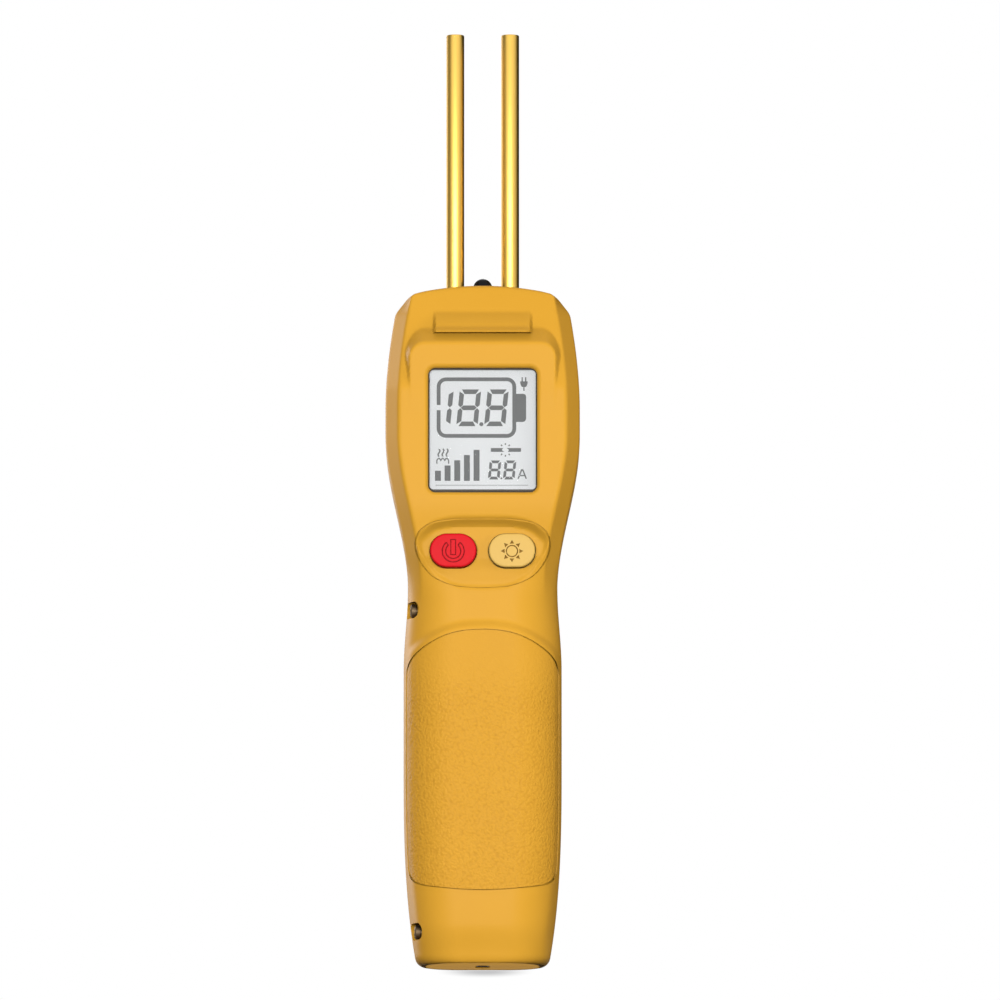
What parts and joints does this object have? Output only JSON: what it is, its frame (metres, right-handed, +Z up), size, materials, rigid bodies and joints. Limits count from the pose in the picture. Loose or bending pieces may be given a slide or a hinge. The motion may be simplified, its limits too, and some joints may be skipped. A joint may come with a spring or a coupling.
{
  "type": "cordless hot stapler",
  "caption": "Hand-held cordless plastic welder: yellow clamshell with a display, two push buttons, two brass electrodes with a lamp between them, and a charging port in the base.",
  "frame": {"origin": "centre of the bounding box's underside, on the plane the base stands on", "axes": "+Z up along the electrodes, -Y out of the display side, +X to the right as seen from the display side"},
  "size_m": [0.0504, 0.038, 0.2436],
  "materials": {
    "casing_plastic": "fine matte moulded yellow",
    "grip_soft": "grained soft-touch yellow",
    "window_clear": "clear polished",
    "black_foam": "matt foam",
    "lcd_glass": "pale grey display glass",
    "reflector_white": "white reflector",
    "flex_film": "amber film",
    "button_red": "satin red",
    "button_pale": "satin pale yellow",
    "board_green": "solder mask",
    "chip_black": "moulded black",
    "connector_white": "natural white",
    "screw_steel": "zinc plated",
    "electrode_brass": "polished",
    "block_phenolic": "dark brown",
    "lamp_black": "glossy dark",
    "nickel_strip": "nickel plated",
    "tinned_wire": "tinned",
    "cell_wrap": "blue shrink wrap over a metal can",
    "wire_red": "silicone insulation",
    "wire_black": "silicone insulation"
  },
  "bodies": {
    "casing": {"front_shell": "casing_plastic", "rear_shell": "casing_plastic", "grip_pad": "grip_soft", "display_window": "window_clear", "window_gasket": "black_foam", "lcd_panel": "lcd_glass", "backlight": "reflector_white", "display_flex": "flex_film", "power_switch": "chip_black", "heat_switch": "chip_black", "main_board": "board_green", "board_screw_1": "screw_steel", "board_screw_2": "screw_steel", "board_screw_3": "screw_steel", "board_screw_4": "screw_steel", "control_chip": "chip_black", "mosfet_left": "chip_black", "mosfet_right": "chip_black", "battery_connector": "connector_white", "electrode_block": "block_phenolic", "electrode_left": "electrode_brass", "electrode_right": "electrode_brass", "clamp_screw_left": "screw_steel", "clamp_screw_right": "screw_steel", "lug_left": "nickel_strip", "lug_right": "nickel_strip", "electrode_lead_left": "wire_black", "electrode_lead_right": "wire_red", "lamp": "lamp_black", "lamp_holder": "black_foam", "lamp_lead_left": "tinned_wire", "lamp_lead_right": "tinned_wire", "battery_cell": "cell_wrap", "battery_cradle": "chip_black", "contact_positive": "nickel_strip", "contact_negative": "nickel_strip", "battery_lead_positive": "wire_red", "battery_lead_negative": "wire_black", "charge_port": "nickel_strip", "port_tongue": "chip_black", "charge_board": "board_green", "charge_chip": "chip_black", "side_screw_lower": "screw_steel", "side_screw_upper": "screw_steel"},
    "power_button": {"power_button": "button_red", "power_plunger": "connector_white"},
    "heat_button": {"heat_button": "button_pale", "heat_plunger": "connector_white"}
  },
  "joints": [
    {"name": "power_button_slide", "type": "slide", "parent": "casing", "child": "power_button", "axis": [0, 1, 0], "range_m": [0, 0.0005], "stiffness_N_per_m": 1500, "springref_m": -0.0004},
    {"name": "heat_button_slide", "type": "slide", "parent": "casing", "child": "heat_button", "axis": [0, 1, 0], "range_m": [0, 0.0005], "stiffness_N_per_m": 1500, "springref_m": -0.0004}
  ]
}
